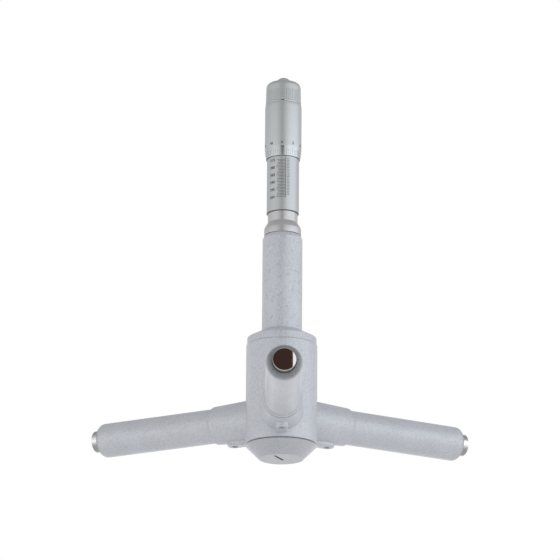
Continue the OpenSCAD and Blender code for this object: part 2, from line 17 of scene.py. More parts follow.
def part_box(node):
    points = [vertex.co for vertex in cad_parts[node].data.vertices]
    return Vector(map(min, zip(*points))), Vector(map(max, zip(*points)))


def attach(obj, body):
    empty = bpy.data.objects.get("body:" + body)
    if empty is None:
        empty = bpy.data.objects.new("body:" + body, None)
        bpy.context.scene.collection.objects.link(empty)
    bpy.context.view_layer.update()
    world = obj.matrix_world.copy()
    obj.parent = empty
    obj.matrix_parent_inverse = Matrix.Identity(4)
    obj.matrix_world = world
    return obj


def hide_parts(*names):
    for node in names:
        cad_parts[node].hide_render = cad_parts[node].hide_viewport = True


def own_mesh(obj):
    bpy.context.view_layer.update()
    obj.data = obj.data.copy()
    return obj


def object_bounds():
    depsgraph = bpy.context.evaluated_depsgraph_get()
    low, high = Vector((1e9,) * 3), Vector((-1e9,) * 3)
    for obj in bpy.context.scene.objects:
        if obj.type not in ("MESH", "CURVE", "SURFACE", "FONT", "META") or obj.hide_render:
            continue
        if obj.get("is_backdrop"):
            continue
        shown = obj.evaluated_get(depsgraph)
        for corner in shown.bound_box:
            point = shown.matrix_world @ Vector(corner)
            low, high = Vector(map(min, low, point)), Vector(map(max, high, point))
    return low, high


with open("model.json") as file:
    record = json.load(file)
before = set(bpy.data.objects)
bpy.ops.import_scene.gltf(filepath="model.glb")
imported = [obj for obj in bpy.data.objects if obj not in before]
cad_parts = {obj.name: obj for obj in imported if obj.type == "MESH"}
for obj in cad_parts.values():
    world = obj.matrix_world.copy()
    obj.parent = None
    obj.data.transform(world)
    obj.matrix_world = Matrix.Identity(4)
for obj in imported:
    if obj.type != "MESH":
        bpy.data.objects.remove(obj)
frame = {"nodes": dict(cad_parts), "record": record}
cad_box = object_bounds()

bl_info = {
    "name": "Inside Micrometer Dressing",
    "version": (1, 0, 0),
    "blender": (4, 5, 0),
    "location": "3D View > Sidebar > Micrometer",
    "description": "Finishes, scales and stage for the packed inside micrometer",
    "category": "Object",
}

MM = 0.001
MERGE = 1e-7  # points closer than this are one
SIDES = {"front": -90, "right": 30, "left": 150}  # bearings of the arms in degrees
INNER_STEEL = [
    "adjusting_nut", "guide_screws", "rod_key", "cone", "push_rod", "thrust_ball", "spindle",
    "ratchet_base", "ratchet_pawl", "front_rod", "right_rod", "left_rod",
]
SPRING_STEEL = ["ratchet_spring", "front_clip", "right_clip", "left_clip"]

UPRIGHT = (math.pi / 2, 0.0, 0.0)  # turns what lies flat up to face the front
RUNNING_FIT = 0.05 * MM
NUMBERS = 10  # round the thimble
LAMP_DISTANCE = 1.3
FLOOR_RADIUS, FLOOR_DROP = 1.6, 0.4 * MM


def foot(node):
    """Lowest height of a CAD node."""
    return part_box(node)[0].z


def top(node):
    """Highest height of a CAD node."""
    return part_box(node)[1].z


def outer(node):
    """Largest radius of a CAD node that is turned about the spindle axis."""
    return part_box(node)[1].x


def span(node):
    """Lowest and highest height, and largest radius, of a turned CAD node."""
    return foot(node), top(node), outer(node)


def arm_height():
    """Height of the arms' axes."""
    return (foot("front_arm") + top("front_arm")) / 2


def length(name, text, default):
    """A size that a user may change, with its default in millimetres."""
    return FloatProperty(name=name, description=text, default=default * MM, min=0.0,
                         subtype="DISTANCE", unit="LENGTH", precision=5)


def angle(name, text, degrees):
    """An angle that a user may change."""
    return FloatProperty(name=name, description=text, default=math.radians(degrees),
                         subtype="ANGLE")


def colour(name, text, default):
    """A linear colour that a user may change."""
    return FloatVectorProperty(name=name, description=text, default=default, size=3, min=0.0,
                               max=1.0, subtype="COLOR")


def level(name, text, default):
    """A plain number that a user may change."""
    return FloatProperty(name=name, description=text, default=default, min=0.0, max=10.0)


def count(name, text, default, **limits):
    """A whole number that a user may change."""
    return IntProperty(name=name, description=text, default=default, **limits)


class MicrometerSizes(PropertyGroup):
    """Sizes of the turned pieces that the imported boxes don't give"""

    facets: count("Facets", "Steps round a turned piece", 192, min=48, max=384)
    edge: length("Painted edge", "Rounding of a painted edge", 0.30)
    metal_edge: length("Metal edge", "Rounding of a machined edge", 0.12)
    cap_flat: length("Cap face", "Radius of the end cap's flat face", 14.15)
    cap_height: length("Cap height", "Height of the end cap's cone", 9.0)
    cap_spigot: length("Cap spigot", "Radius of the end cap's spigot", 15.9)
    seam: length("Seam", "Depth of the groove between the cap and the head", 0.6)
    slot_length: length("Slot length", "Length of the slot in the cap", 13.6)
    slot_width: length("Slot width", "Width of the slot in the cap", 1.8)
    slot_depth: length("Slot depth", "Depth of the slot in the cap", 1.2)
    slot_offset: length("Slot offset", "How far the slot lies off the middle along its length", 3.6)
    tube_wall: length("Tube wall", "Wall of the handle tube", 3.1)
    tube_chamfer: length("Tube chamfer", "Height of the chamfer at the tube's top", 2.6)
    tube_chamfer_in: length("Tube chamfer depth", "How far that chamfer comes in", 1.4)
    collar_height: length("Collar height", "Height of the barrel's collar", 4.1)
    collar_cone: length("Collar cone", "Height of the cone above the collar", 3.9)
    neck: length("Neck", "Radius of the barrel's neck", 9.55)
    arm_round: length("Arm rounding", "Rounding of an arm's outer end", 3.6)
    arm_spigot: length("Arm spigot", "Radius of an arm's spigot", 9.5)
    shoulder: length("Shoulder", "Height of the edge at the head's shoulder", 73.3)
    arm_reach: length("Arm reach", "Distance of an arm's end from the spindle axis", 132.5)
    boss_reach: length("Boss reach", "Distance of a boss's mouth from the spindle axis", 48.0)
    boss_lip: length("Boss lip", "Length of the chamfer at a boss's mouth", 1.6)
    face_radius: length("Anvil face", "Radius of an anvil's ground face", 90.0)
    wire: length("Spring wire", "Diameter of a return spring's wire", 1.1)
    turns: count("Spring turns", "Turns of a return spring", 9, min=6, max=11)
    bevel_height: length("Bevel height", "Height of the thimble's bevel", 6.6)
    bevel_edge: length("Bevel edge", "Radius of the thimble's lower edge", 10.9)
    thimble_top: length("Thimble top", "Radius of the thimble's top edge", 11.35)
    thimble_round: length("Thimble rounding", "Height of the rounding at the thimble's top", 2.9)
    lip: length("Thimble lip", "Radius of the polished lip in the gap under the knob", 11.25)
    rib_height: length("Rib height", "Height of the knob's ribbed band", 8.4)
    rib_depth: length("Rib depth", "Depth of the grooves between the ribs", 0.3)
    ribs: count("Ribs", "Number of ribs on the knob", 54, min=12, max=120)
    nub_side: length("Nub side", "Straight height of the nub under its dome", 1.1)
    knob_shoulder: length("Knob shoulder", "Radius of the knob under its rounding", 11.15)
    knob_round: length("Knob rounding", "Rounding of the knob's top edge", 3.2)


class MicrometerFinish(PropertyGroup):
    """Colours and grain of the finishes"""

    paint_light: colour("Light paint", "Hammer paint on the raised cells", (0.62, 0.64, 0.69))
    paint_dark: colour("Dark paint", "Hammer paint in the hollows", (0.525, 0.54, 0.585))
    chrome: colour("Chrome", "Satin chrome plate", (0.57, 0.59, 0.60))
    bright: colour("Bright steel", "Turned steel of the collar and neck", (0.64, 0.63, 0.64))
    polished: colour("Polished steel", "Lapped anvils", (0.66, 0.65, 0.64))
    tool: colour("Tool steel", "Ground and oiled inner pieces", (0.42, 0.42, 0.44))
    # Painted highlight: the lip is lighter than any steel here, so the gap under the knob reads as
    # a bright line.
    lip: colour("Lip", "The polished lip under the ratchet knob", (0.92, 0.92, 0.93))
    spring: colour("Spring steel", "Drawn wire and clips", (0.27, 0.27, 0.29))
    bronze: colour("Bronze", "Rod bushes", (0.52, 0.33, 0.14))
    ink: colour("Ink", "Paint in the engraved lines and figures", (0.012, 0.012, 0.014))
    cell: length("Hammer cell", "Size of the paint's hammered cells", 0.9)
    ring: length("Turning ring", "Spacing of the tool marks on turned steel", 0.9)


class MicrometerScale(PropertyGroup):
    """The two scales"""

    first: count("First number", "Smallest number on the sleeve", 275)
    last: count("Last number", "Largest number on the sleeve", 300)
    step: length("Line spacing", "Spacing of the sleeve's lines", 1.0)
    drop: length("First line", "How far the first line lies below the thimble's edge", 2.6)
    stroke: length("Stroke", "Width of a line", 0.26)
    fine_stroke: length("Fine stroke", "Width of a line on the thimble's bevel", 0.12)
    ink_height: length("Ink height", "Thickness of the ink", 0.03)
    datum: angle("Datum", "Angle of the datum line to the right of the front", 8.9)
    zero: angle("Zero", "Angle of the thimble's zero to the right of the front", -4.1)
    divisions: count("Divisions", "Lines round the thimble's bevel", 50)
    figures: BoolProperty(name="Figures", description="Put numbers on both scales", default=True)


class MicrometerStage(PropertyGroup):
    """Camera, light and floor"""

    distance: length("Distance", "Camera to the middle of the picture", 2000.0)
    below: angle("Below", "Angle of the camera below the horizon", 16.95)
    aside: angle("Aside", "Angle of the camera to the right of the front arm", -0.61)
    roll: angle("Roll", "Turn of the camera about its view axis", 0.39)
    look_at: FloatVectorProperty(name="Look at", description="Middle of the picture", size=3,
                                 default=(-0.00146, 0.0, 0.1173), subtype="TRANSLATION",
                                 unit="LENGTH")
    lens: FloatProperty(name="Lens", description="Focal length in millimetres", default=201.9,
                        min=10.0)
    room: level("Room", "Level of the soft light all round", 1.3)
    left: level("Left lamp", "Brightness of the soft box on the left", 0.17)
    right: level("Right lamp", "Brightness of the soft box on the right", 0.62)
    cool: colour("Cool lamp", "Colour of the soft box on the right", (0.82, 0.91, 1.0))
    dark: colour("Dark wall", "The dark place beside the camera, as polished faces see it",
                 (0.045, 0.025, 0.02))
    floor: colour("Floor", "Pale floor", (0.86, 0.86, 0.86))


class MicrometerSettings(PropertyGroup):
    """All settings of the dressing"""

    sizes: PointerProperty(type=MicrometerSizes)
    finish: PointerProperty(type=MicrometerFinish)
    scale: PointerProperty(type=MicrometerScale)
    stage: PointerProperty(type=MicrometerStage)


class Signal:
    """A shader socket; arithmetic on it adds Math nodes to its tree."""

    def __init__(self, tree, socket):
        self.tree = tree
        self.socket = socket

    def __add__(self, other):
        return self.tree.calc("ADD", self, other)

    def __radd__(self, other):
        return self.tree.calc("ADD", other, self)

    def __sub__(self, other):
        return self.tree.calc("SUBTRACT", self, other)

    def __rsub__(self, other):
        return self.tree.calc("SUBTRACT", other, self)

    def __mul__(self, other):
        return self.tree.calc("MULTIPLY", self, other)

    def __rmul__(self, other):
        return self.tree.calc("MULTIPLY", other, self)

    def __truediv__(self, other):
        return self.tree.calc("DIVIDE", self, other)

    def __rtruediv__(self, other):
        return self.tree.calc("DIVIDE", other, self)


class Recipe:
    """The node tree of one finish or of the studio."""

    def __init__(self, owner):
        owner.use_nodes = True
        self.nodes = owner.node_tree.nodes
        self.links = owner.node_tree.links
        self.nodes.clear()

    def node(self, kind, settings=None, inputs=None, output=0):
        """Adds a shader node, sets it up, feeds its sockets, and returns one of its outputs."""
        node = self.nodes.new("ShaderNode" + kind)
        for name, value in (settings or {}).items():
            if name == "stops":
                self.set_stops(node.color_ramp.elements, value)
            else:
                setattr(node, name, value)
        for name, value in (inputs or {}).items():
            socket = node.inputs[name]
            if isinstance(value, Signal):
                self.links.new(value.socket, socket)
            else:
                socket.default_value = value
        return Signal(self, node.outputs[output]) if len(node.outputs) else None

    @staticmethod
    def set_stops(elements, stops):
        """Puts grey levels at the given places of a ramp."""
        while len(elements) < len(stops):
            elements.new(1.0)
        for element, (place, value) in zip(elements, stops):
            element.position = place
            element.color = (value, value, value, 1.0)

    def calc(self, operation, *values):
        """A Math node on signals and plain numbers."""
        return self.node("Math", {"operation": operation}, dict(enumerate(values)))

    def place(self):
        """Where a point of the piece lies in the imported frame."""
        return self.node("TexCoord", output="Object")

    def axes(self, vector):
        split = self.node("SeparateXYZ", inputs={"Vector": vector})
        outputs = split.socket.node.outputs
        return [Signal(self, outputs[axis]) for axis in ("X", "Y", "Z")]

    def noise(self, vector, scale, detail=2.0, roughness=0.5):
        inputs = {"Vector": vector, "Scale": scale, "Detail": detail, "Roughness": roughness}
        return self.node("TexNoise", {"noise_dimensions": "3D"}, inputs)

    def turning(self, x, y, z, across, along):
        """Grain that runs round the spindle axis, as fine turning leaves it."""
        stretched = self.node("CombineXYZ", None,
                              {"X": x * across, "Y": y * across, "Z": z * along})
        return self.noise(stretched, 1.0, 3.0, 0.6)

    def ramp(self, factor, stops):
        return self.node("ValToRGB", {"stops": stops}, {"Fac": factor})

    def length(self, x, y):
        return self.calc("SQRT", x * x + y * y)

    def off(self, value, place):
        """How far a value lies from a place, either way."""
        return self.calc("ABSOLUTE", value - place)

    def largest(self, values):
        most = values[0]
        for value in values[1:]:
            most = self.calc("MAXIMUM", most, value)
        return most

    def along_arm(self, x, y):
        """Distance out along the nearest arm."""
        turns = [math.radians(turn) for turn in SIDES.values()]
        return self.largest([x * math.cos(turn) + y * math.sin(turn) for turn in turns])

    def fade(self, value, first, last):
        """Goes smoothly from 0 at the first limit to 1 at the last."""
        return self.node("MapRange", {"interpolation_type": "SMOOTHSTEP"},
                         {"Value": value, "From Min": first, "From Max": last})

    def mix(self, factor, first, second, blend="MIX"):
        return self.node("Mix", {"data_type": "RGBA", "blend_type": blend},
                         {0: factor, 6: first, 7: second}, output=2)

    def bump(self, height, strength, distance, normal=None):
        inputs = {"Height": height, "Strength": strength, "Distance": distance}
        if normal is not None:
            inputs["Normal"] = normal
        return self.node("Bump", None, inputs)

    def surface(self, **inputs):
        """Ends the tree in a Principled surface; underscores stand for spaces in socket names."""
        sockets = {name.replace("_", " "): value for name, value in inputs.items()}
        shader = self.node("BsdfPrincipled", None, sockets)
        self.node("OutputMaterial", None, {"Surface": shader})


def rgba(shade, factor=1.0):
    """A colour with full alpha, made lighter or darker by a factor."""
    return (*(channel * factor for channel in shade), 1.0)


def new_recipe(name):
    material = bpy.data.materials.new(name)
    return material, Recipe(material)


def hammer_paint(finish):
    """Silver-grey hammer finish: raised cells, dark hollows, fine pits and thin gloss, with painted
    shade on the end cap and painted shade lines at its seams, edges, slot and arm ends.
    """
    sizes = bpy.context.scene.micrometer.sizes
    material, tree = new_recipe("hammer_paint")
    place = tree.place()
    x, y, z = tree.axes(place)
    along = tree.along_arm(x, y)
    cells = tree.node("TexVoronoi", {"feature": "SMOOTH_F1"}, {
        "Vector": place, "Scale": 1.0 / finish.cell, "Smoothness": 0.6, "Randomness": 1.0,
    })
    speck = tree.noise(place, 0.9 / finish.cell, 3.0, 0.6)
    hollow = tree.ramp(cells * 0.75 + speck * 0.5, [(0.45, 0.0), (0.85, 1.0)])
    body = tree.mix(hollow, rgba(finish.paint_light), rgba(finish.paint_dark))
    cloud = tree.ramp(tree.noise(place, 60.0), [(0.3, 0.94), (0.7, 1.0)])
    body = tree.mix(1.0, body, cloud, "MULTIPLY")

    pits = tree.ramp(tree.noise(place, 420.0, 1.0), [(0.60, 0.0), (0.72, 1.0)])
    pits = pits * (tree.fade(z, sizes.shoulder, sizes.shoulder + 10.0 * MM) * 0.16 + 0.08)
    body = tree.mix(pits, body, rgba(finish.paint_dark, 0.4))
    # Painted shade: the end cap, which faces down, is painted darker than the rest of the head.
    cap = tree.fade(z, sizes.cap_height + 0.2 * MM, sizes.cap_height - 0.2 * MM)
    body = tree.mix(cap * 0.2, body, rgba(finish.paint_dark, 0.4))

    def seam(value, at, gone, full, strength):
        """A line of painted shade that is full within one distance and gone at another."""
        return tree.fade(tree.off(value, at), gone * MM, full * MM) * strength

    # Painted shade: dark lines in the cap seam, at the shoulder edge and round the boss mouths, in
    # the cap's slot, and a painted dark reflection on the rounded arm ends. The boss-mouth line is
    # strongest on the front arm.
    front = tree.fade(y, 10.0 * MM, -10.0 * MM) * 0.55 + 0.3
    inside_rim = tree.fade(tree.length(x, y), sizes.cap_flat - 0.3 * MM, sizes.cap_flat - 0.7 * MM)
    painted_shade_lines = [
        seam(z, sizes.cap_height, 0.60, 0.20, 0.75),
        seam(z, sizes.shoulder, 0.40, 0.10, 0.45),
        seam(along, sizes.boss_reach, 0.35, 0.10, 0.10),
        seam(along, sizes.boss_reach - sizes.boss_lip, 0.45, 0.10, front),
        tree.fade(z, 0.1 * MM, 0.5 * MM) * tree.fade(z, 2.5 * MM, 2.0 * MM) * 0.75 * inside_rim,
        tree.fade(along, sizes.arm_reach - 3.8 * MM, sizes.arm_reach + 0.3 * MM),
    ]
    # The painted shade lines, mottled a little, darken the paint colour.
    painted_shade = tree.largest(painted_shade_lines) * (speck * 0.5 + 0.6)
    body = tree.mix(painted_shade, body, rgba(finish.paint_dark, 0.25))
    soft = tree.node("Bevel", {"samples": 6}, {"Radius": sizes.edge})
    relief = tree.bump(1.0 - hollow, 0.16, 0.3 * MM, soft)
    tree.surface(Base_Color=body, Metallic=0.25, Roughness=speck * 0.16 + 0.34, Normal=relief,
                 Coat_Weight=0.25, Coat_Roughness=0.22)
    return material


def satin_chrome(finish):
    """Satin plate over fine turning, with painted shade at the sleeve's and thimble's lower edges
    and a brighter bevel.
    """
    material, tree = new_recipe("satin_plate")
    place = tree.place()
    x, y, z = tree.axes(place)
    grain = tree.turning(x, y, z, 25.0, 9000.0)
    cloud = tree.noise(place, 140.0)
    tone = tree.mix(tree.ramp(grain, [(0.3, 0.0), (0.7, 1.0)]),
                    rgba(finish.chrome, 0.9), rgba(finish.chrome))
    sleeve, thimble, radius = foot("scale_sleeve"), foot("thimble"), outer("scale_sleeve")
    # Painted shade: dark bands at the sleeve's lower edge and the thimble's lower edge, where their
    # overhangs are shaded.
    painted_edge_shade = [
        tree.fade(z, sleeve + 0.55 * MM, sleeve + 0.25 * MM),
        tree.fade(z, thimble + 0.35 * MM, thimble + 0.10 * MM)
        * tree.fade(tree.length(x, y), radius, radius + 0.1 * MM),
    ]
    tone = tree.mix(tree.largest(painted_edge_shade) * 0.8, tone, (0.05, 0.045, 0.045, 1.0))
    bevel = tree.fade(z, thimble + 7.2 * MM, thimble + 6.2 * MM)
    bevel = bevel * tree.fade(z, thimble - 0.1 * MM, thimble)
    tree.surface(Base_Color=tone, Metallic=1.0,
                 Roughness=grain * 0.10 + cloud * 0.08 + 0.34 - bevel * 0.16,
                 Normal=tree.bump(grain, 0.12, 0.02 * MM))
    return material


def bright_steel(finish):
    """Bright steel with the rings that a turning tool leaves."""
    material, tree = new_recipe("bright_steel")
    x, y, z = tree.axes(tree.place())
    wave = tree.calc("SINE", z * (2.0 * math.pi / finish.ring))
    grain = tree.turning(x, y, z, 20.0, 7000.0)
    rings = wave * 0.35 + grain
    tone = tree.mix(tree.ramp(rings, [(0.2, 0.0), (0.8, 1.0)]),
                    rgba(finish.bright, 0.82), rgba(finish.bright))
    tree.surface(Base_Color=tone, Metallic=1.0, Roughness=grain * 0.12 + 0.32,
                 Normal=tree.bump(rings, 0.25, 0.04 * MM))
    return material


def ground_steel(name, shade, roughness, scratch):
    """Ground or lapped steel with fine, random grinding marks."""
    material, tree = new_recipe(name)
    place = tree.place()
    marks = tree.noise(place, 2600.0, 4.0, 0.7)
    cloud = tree.noise(place, 90.0)
    tone = tree.mix(tree.ramp(marks, [(0.3, 0.0), (0.75, 1.0)]), rgba(shade, 0.88), rgba(shade))
    tree.surface(Base_Color=tone, Metallic=1.0,
                 Roughness=(marks + cloud) * (roughness * 0.3) + roughness,
                 Normal=tree.bump(marks, scratch, 0.01 * MM))
    return material


def lapped_steel(finish):
    """Lapped steel. The two side pins carry a painted highlight along the middle and painted dark
    reflections above and below it.
    """
    material, tree = new_recipe("lapped_steel")
    place = tree.place()
    _, y, z = tree.axes(place)
    marks = tree.noise(place, 2600.0, 4.0, 0.7)
    # Painted reflection: on the side pins a lighter band at the arm's height, with darker steel
    # above and below.
    painted_reflection_band = tree.fade(tree.off(z, arm_height()), 1.0 * MM, 4.5 * MM)
    side = tree.mix(painted_reflection_band, rgba(finish.polished, 1.23), rgba(finish.polished, 0.64))
    tone = tree.mix(tree.fade(y, 10.0 * MM, 20.0 * MM), rgba(finish.polished), side)
    tree.surface(Base_Color=tone, Metallic=1.0, Roughness=marks * 0.01 + 0.035,
                 Normal=tree.bump(marks, 0.01, 0.01 * MM))
    return material


def scale_ink(finish):
    """Black paint in the engraved lines, worn a little thin."""
    material, tree = new_recipe("scale_ink")
    wear = tree.noise(tree.place(), 2200.0, 3.0, 0.6)
    worn = tree.ramp(wear, [(0.5, 0.0), (0.9, 0.35)])
    tone = tree.mix(worn, rgba(finish.ink), (0.12, 0.12, 0.13, 1.0))
    tree.surface(Base_Color=tone, Roughness=wear * 0.2 + 0.45)
    return material


def clear_selection():
    if bpy.context.mode != "OBJECT":
        bpy.ops.object.mode_set(mode="OBJECT")
    bpy.ops.object.select_all(action="DESELECT")


def hold(piece):
    """Makes one piece the selected, active one."""
    clear_selection()
    piece.select_set(True)
    bpy.context.view_layer.objects.active = piece


def named(piece, name):
    """Names a piece and its mesh."""
    piece.name = name
    piece.data.name = name
    return piece


def arc(centre, radius, start, end, steps, tall=1.0):
    """Points of an arc in a profile, from one angle to another in degrees."""
    angles = [math.radians(start + (end - start) * i / steps) for i in range(steps + 1)]
    x, y = centre
    return [(x + radius * math.cos(a), y + tall * radius * math.sin(a)) for a in angles]


def scale_ring(factor, height):
    """Makes the selected points at a height wider or narrower."""
    bpy.ops.transform.resize(value=(factor, factor, 1.0), center_override=(0.0, 0.0, height))


def next_ring(ring, following):
    """Extrudes the selected ring to the next point of a profile."""
    (radius, height), (next_radius, next_height) = ring, following
    rise = (0.0, 0.0, next_height - height)
    bpy.ops.mesh.extrude_edges_move(TRANSFORM_OT_translate={"value": rise})
    scale_ring(next_radius / radius, next_height)


def edit(piece):
    """Opens a piece in edit mode with everything selected."""
    hold(piece)
    bpy.ops.object.mode_set(mode="EDIT")
    bpy.ops.mesh.select_all(action="SELECT")


def start_ring(name, radius, height, facets, filled):
    """The first ring of a turned piece, selected in edit mode."""
    clear_selection()
    bpy.ops.mesh.primitive_circle_add(vertices=facets, radius=radius,
                                      fill_type="NGON" if filled else "NOTHING")
    piece = named(bpy.context.object, name)
    edit(piece)
    bpy.ops.transform.translate(value=(0.0, 0.0, height))
    return piece


def merge_shell():
    """Merges the seams of the mesh in edit mode, turns its faces outwards and leaves edit mode."""
    bpy.ops.mesh.select_all(action="SELECT")
    bpy.ops.mesh.remove_doubles(threshold=MERGE)
    bpy.ops.mesh.normals_make_consistent(inside=False)
    bpy.ops.object.mode_set(mode="OBJECT")


def close_shell():
    """Merges the mesh in edit mode into one smooth shell."""
    merge_shell()
    bpy.ops.object.shade_smooth()


def turned(name, profile, facets, hollow=True):
    """A turned piece. A hollow profile is a closed loop; a solid one is filled at both ends."""
    piece = start_ring(name, *profile[0], facets, not hollow)
    points = profile + profile[:1] if hollow else profile
    for ring, following in zip(points, points[1:]):
        next_ring(ring, following)
    if not hollow:
        bpy.ops.mesh.edge_face_add()
    close_shell()
    return piece


def apply_modifier(piece, kind, **settings):
    hold(piece)
    bpy.ops.object.modifier_add(type=kind)
    modifier = piece.modifiers[-1]
    for name, value in settings.items():
        setattr(modifier, name, value)
    bpy.ops.object.modifier_apply(modifier=modifier.name)


def soften(piece, width):
    """Rounds every sharp edge and keeps the faces beside it flat."""
    apply_modifier(piece, "BEVEL", width=width, segments=3, limit_method="ANGLE",
                   angle_limit=math.radians(25), harden_normals=True, use_clamp_overlap=True)


def smooth(piece, degrees):
    """Shades a piece smooth, apart from edges sharper than an angle."""
    hold(piece)
    bpy.ops.object.shade_smooth_by_angle(angle=math.radians(degrees))


def carve(piece, cutter, operation="DIFFERENCE"):
    apply_modifier(piece, "BOOLEAN", object=cutter, operation=operation, solver="EXACT")
    bpy.data.objects.remove(cutter)


def slot_cutter(size, place, turn):
    """A square bar that cuts a slot."""
    clear_selection()
    bpy.ops.mesh.primitive_cube_add(size=1.0)
    cutter = bpy.context.object
    cutter.scale = size
    cutter.rotation_euler.z = turn
    cutter.location = place
    bpy.ops.object.transform_apply()
    return cutter


def round_cutter(radius, depth, facets, place, turn):
    """A plain cylinder that drills or grinds."""
    clear_selection()
    bpy.ops.mesh.primitive_cylinder_add(vertices=facets, radius=radius, depth=depth, location=place,
                                        rotation=turn)
    bpy.ops.object.transform_apply()
    return bpy.context.object


def copy_piece(piece, name):
    hold(piece)
    bpy.ops.object.duplicate()
    return named(bpy.context.object, name)


def on_arms(first, ending):
    """Turns a copy of a piece that was modelled along Z out along each arm, and drops the first."""
    for side, bearing in SIDES.items():
        piece = copy_piece(first, side + ending)
        hold(piece)
        piece.rotation_euler = (0.0, math.pi / 2, math.radians(bearing))
        piece.location.z = arm_height()
        bpy.ops.object.transform_apply()
        yield side, piece
    bpy.data.objects.remove(first)


def join(pieces, name):
    clear_selection()
    for piece in pieces:
        piece.select_set(True)
    bpy.context.view_layer.objects.active = pieces[0]
    bpy.ops.object.join()
    return named(bpy.context.object, name)


def dress(piece, material, body, slot, *nodes):
    """Gives a finished piece its material and its body, and hides the CAD nodes that it stands for.
    """
    piece.data.materials.clear()
    piece.data.materials.append(material)
    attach(piece, body)
    if nodes:
        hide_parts(*nodes)


def finish_node(name, material):
    """Puts a finish on a CAD node that keeps its own mesh."""
    data = frame["nodes"][name].data
    data.materials.clear()
    data.materials.append(material)


def shared(name, make):
    """A finish that several pieces carry, made when it is first asked for."""
    return bpy.data.materials.get(name) or make(bpy.context.scene.micrometer.finish)


def paint():
    return shared("hammer_paint", hammer_paint)


def chrome():
    return shared("satin_plate", satin_chrome)


def lapped():
    return shared("lapped_steel", lapped_steel)


def ink():
    return shared("scale_ink", scale_ink)


def drawn_wire():
    return shared("drawn_wire", lambda finish: ground_steel("drawn_wire", finish.spring, 0.3, 0.2))


def printed_line(centre, size, steps=1):
    """A flat stroke of ink in the unrolled drawing, which lies in the XZ plane."""
    clear_selection()
    bpy.ops.mesh.primitive_grid_add(x_subdivisions=steps, y_subdivisions=1, size=1.0,
                                    rotation=UPRIGHT)
    stroke = bpy.context.object
    stroke.scale = (size[0], size[1], 1.0)
    stroke.location = (centre[0], 0.0, centre[1])
    bpy.ops.object.transform_apply()
    return stroke


def printed_figure(words, centre, size):
    """A number of the unrolled drawing, fitted to its width and height."""
    clear_selection()
    bpy.ops.object.text_add(rotation=UPRIGHT)
    figure = bpy.context.object
    figure.data.body = words
    figure.data.resolution_u = 3
    figure.data.offset = 0.025
    bpy.ops.object.convert(target="MESH")
    figure = bpy.context.object
    bpy.ops.object.transform_apply()
    low, high = (Vector(map(end, zip(*figure.bound_box))) for end in (min, max))
    fit = Matrix.Diagonal((size[0] / (high.x - low.x), 1.0, size[1] / (high.z - low.z), 1.0))
    move = Matrix.Translation((centre[0], 0.0, centre[1]))
    figure.matrix_world = move @ fit @ Matrix.Translation((low + high) / -2)
    bpy.ops.object.transform_apply()
    return figure


def roll_on(drawing, radius, thickness):
    """Thickens an unrolled drawing and bends it round the spindle axis."""
    apply_modifier(drawing, "SOLIDIFY", thickness=thickness, offset=0.0)
    apply_modifier(drawing, "SIMPLE_DEFORM", deform_method="BEND", deform_axis="Z",
                   angle=drawing.dimensions.x / radius)
    drawing.location.y = -radius
    hold(drawing)
    bpy.ops.object.transform_apply()


class MICROMETER_OT_head(Operator):
    """Paint the head body and make the end cap with its slot"""

    bl_idname = "micrometer.head"
    bl_label = "Head and end cap"

    def execute(self, context):
        size = context.scene.micrometer.sizes
        finish_node("head_body", paint())
        radius, height, spigot_top = outer("end_cap"), size.cap_height, top("end_cap")
        bore, floor, rim, rim_height = 10.0 * MM, 2.2 * MM, 0.3 * MM, 0.2 * MM
        cap = turned("end_cap_shell", [
            (size.cap_flat - rim, 0.0), (size.cap_flat, rim_height),
            (radius, height - size.seam), (radius - size.seam, height),
            (size.cap_spigot, height), (size.cap_spigot, spigot_top),
            (bore, spigot_top), (bore, floor),
        ], size.facets, hollow=False)
        slot = (size.slot_length, size.slot_width, 2 * size.slot_depth)
        turn = math.radians(65.5)
        aside = Vector((math.cos(turn), math.sin(turn), 0.0)) * -size.slot_offset
        carve(cap, slot_cutter(slot, aside, turn))
        soften(cap, size.edge / 2)
        dress(cap, paint(), "head", "paint", "end_cap")
        return {"FINISHED"}


class MICROMETER_OT_arms(Operator):
    """Make one painted arm and copy it to the three bosses"""

    bl_idname = "micrometer.arms"
    bl_label = "Arms"

    def execute(self, context):
        size = context.scene.micrometer.sizes
        low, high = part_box("front_arm")
        radius, root, reach = high.x, -high.y, -low.y
        bend, spigot, boss = size.arm_round, size.arm_spigot, size.boss_reach
        bore, guide, mouth, edge = 7.8 * MM, 7.05 * MM, 0.3 * MM, 0.1 * MM
        bore_end, guide_foot = 96.0 * MM, 110.0 * MM
        first = turned("arm", [
            (bore, root), (spigot, root), (spigot, boss),
            (radius - edge, boss), (radius, boss + edge),
            *arc((radius - bend, reach - bend), bend, 0, 84, 14),
            (guide + mouth, reach), (guide, reach - mouth), (guide, guide_foot), (bore, bore_end),
        ], size.facets)
        soften(first, size.edge / 2)
        for side, piece in on_arms(first, "_arm_tube"):
            dress(piece, paint(), "head", "paint", f"{side}_arm")
        return {"FINISHED"}


class MICROMETER_OT_anvils(Operator):
    """Make one polished anvil with its ground face and copy it to the three arms"""

    bl_idname = "micrometer.anvils"
    bl_label = "Anvils"

    def execute(self, context):
        size = context.scene.micrometer.sizes
        low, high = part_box("front_anvil")
        inset, edge, rim = 0.12 * MM, 0.4 * MM, 0.35 * MM
        radius, root, reach = high.x, -high.y, -low.y - inset
        first = turned("anvil", [
            (radius - edge, root), (radius, root + edge),
            (radius, reach - edge), (radius - rim, reach),
        ], size.facets, hollow=False)
        grinder = round_cutter(size.face_radius, 60.0 * MM, 1080,
                               (0.0, 0.0, reach - size.face_radius), (0.0, math.pi / 2, 0.0))
        carve(first, grinder, "INTERSECT")
        smooth(first, 20)
        soften(first, size.metal_edge)
        for side, piece in on_arms(first, "_anvil_pin"):
            dress(piece, lapped(), f"anvil_{side}", "polished_steel", f"{side}_anvil")
        return {"FINISHED"}


